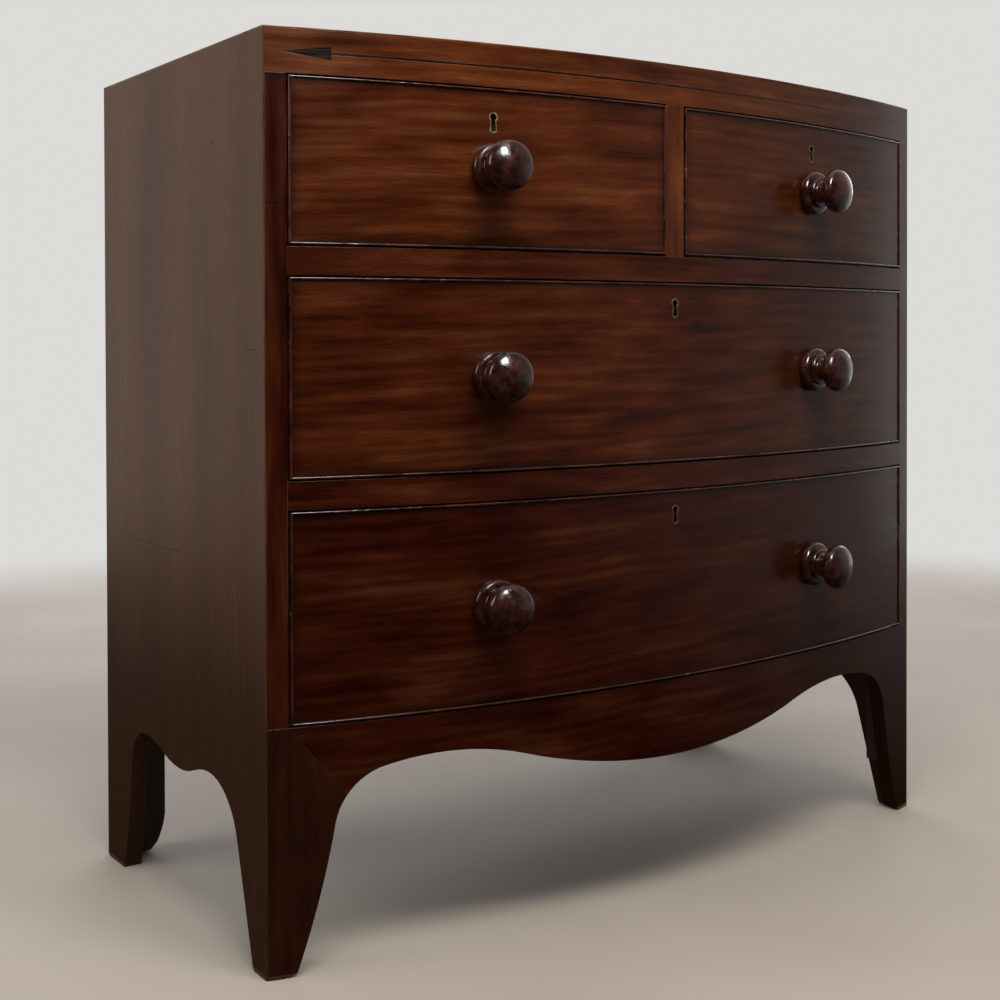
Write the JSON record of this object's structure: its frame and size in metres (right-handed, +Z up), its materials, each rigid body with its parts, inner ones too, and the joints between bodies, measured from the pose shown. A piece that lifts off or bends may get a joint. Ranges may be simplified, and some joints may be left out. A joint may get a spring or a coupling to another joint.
{
  "type": "bow front chest of drawers",
  "caption": "Bow-fronted mahogany chest of drawers with short drawers over long ones, turned knobs, inlaid frieze, shaped apron and swept bracket feet.",
  "frame": {"origin": "on the floor, under the middle of the box that encloses the chest and its knobs", "axes": "+X to the right along the width, +Y from the bowed front to the back, +Z up"},
  "size_m": [0.9, 0.5128, 0.89],
  "materials": {
    "case_mahogany": "satin",
    "front_mahogany": "gloss",
    "drawer_mahogany": "gloss",
    "bead_mahogany": "gloss",
    "turned_mahogany": "gloss",
    "ebony": "gloss",
    "oak": "matt",
    "pine": "matt",
    "brass": "dull"
  },
  "bodies": {
    "carcase": {"top_board": "case_mahogany", "left_side": "case_mahogany", "right_side": "case_mahogany", "left_stile": "front_mahogany", "right_stile": "front_mahogany", "frieze_rail": "front_mahogany", "frieze_stringing": "ebony", "upper_rail": "front_mahogany", "lower_rail": "front_mahogany", "centre_muntin": "front_mahogany", "front_apron": "front_mahogany", "left_front_foot": "front_mahogany", "right_front_foot": "front_mahogany", "rear_foot_brackets": "pine", "bottom_board": "pine", "back_boards": "pine", "drawer_runners": "oak", "drawer_kickers": "oak", "drawer_stops": "oak", "glue_blocks": "pine"},
    "left_short_drawer": {"left_short_drawer_front": "drawer_mahogany", "left_short_drawer_cockbead": "bead_mahogany", "left_short_drawer_left_side": "oak", "left_short_drawer_right_side": "oak", "left_short_drawer_back": "oak", "left_short_drawer_bottom": "oak", "left_short_drawer_knob": "turned_mahogany", "left_short_drawer_escutcheon": "brass", "left_short_drawer_lock_case": "brass"},
    "left_short_drawer_bolt": {"left_short_drawer_lock_bolt": "brass"},
    "right_short_drawer": {"right_short_drawer_front": "drawer_mahogany", "right_short_drawer_cockbead": "bead_mahogany", "right_short_drawer_left_side": "oak", "right_short_drawer_right_side": "oak", "right_short_drawer_back": "oak", "right_short_drawer_bottom": "oak", "right_short_drawer_knob": "turned_mahogany", "right_short_drawer_escutcheon": "brass", "right_short_drawer_lock_case": "brass"},
    "right_short_drawer_bolt": {"right_short_drawer_lock_bolt": "brass"},
    "middle_drawer": {"middle_drawer_front": "drawer_mahogany", "middle_drawer_cockbead": "bead_mahogany", "middle_drawer_left_side": "oak", "middle_drawer_right_side": "oak", "middle_drawer_back": "oak", "middle_drawer_bottom": "oak", "middle_drawer_knobs": "turned_mahogany", "middle_drawer_escutcheon": "brass", "middle_drawer_lock_case": "brass"},
    "middle_drawer_bolt": {"middle_drawer_lock_bolt": "brass"},
    "bottom_drawer": {"bottom_drawer_front": "drawer_mahogany", "bottom_drawer_cockbead": "bead_mahogany", "bottom_drawer_left_side": "oak", "bottom_drawer_right_side": "oak", "bottom_drawer_back": "oak", "bottom_drawer_bottom": "oak", "bottom_drawer_knobs": "turned_mahogany", "bottom_drawer_escutcheon": "brass", "bottom_drawer_lock_case": "brass"},
    "bottom_drawer_bolt": {"bottom_drawer_lock_bolt": "brass"}
  },
  "joints": [
    {"name": "left_short_drawer_slide", "type": "slide", "parent": "carcase", "child": "left_short_drawer", "axis": [0, -1, 0], "range_m": [0, 0.3]},
    {"name": "left_short_drawer_bolt_slide", "type": "slide", "parent": "left_short_drawer", "child": "left_short_drawer_bolt", "axis": [0, 0, 1], "range_m": [0, 0.008]},
    {"name": "right_short_drawer_slide", "type": "slide", "parent": "carcase", "child": "right_short_drawer", "axis": [0, -1, 0], "range_m": [0, 0.3]},
    {"name": "right_short_drawer_bolt_slide", "type": "slide", "parent": "right_short_drawer", "child": "right_short_drawer_bolt", "axis": [0, 0, 1], "range_m": [0, 0.008]},
    {"name": "middle_drawer_slide", "type": "slide", "parent": "carcase", "child": "middle_drawer", "axis": [0, -1, 0], "range_m": [0, 0.3]},
    {"name": "middle_drawer_bolt_slide", "type": "slide", "parent": "middle_drawer", "child": "middle_drawer_bolt", "axis": [0, 0, 1], "range_m": [0, 0.008]},
    {"name": "bottom_drawer_slide", "type": "slide", "parent": "carcase", "child": "bottom_drawer", "axis": [0, -1, 0], "range_m": [0, 0.3]},
    {"name": "bottom_drawer_bolt_slide", "type": "slide", "parent": "bottom_drawer", "child": "bottom_drawer_bolt", "axis": [0, 0, 1], "range_m": [0, 0.008]}
  ]
}
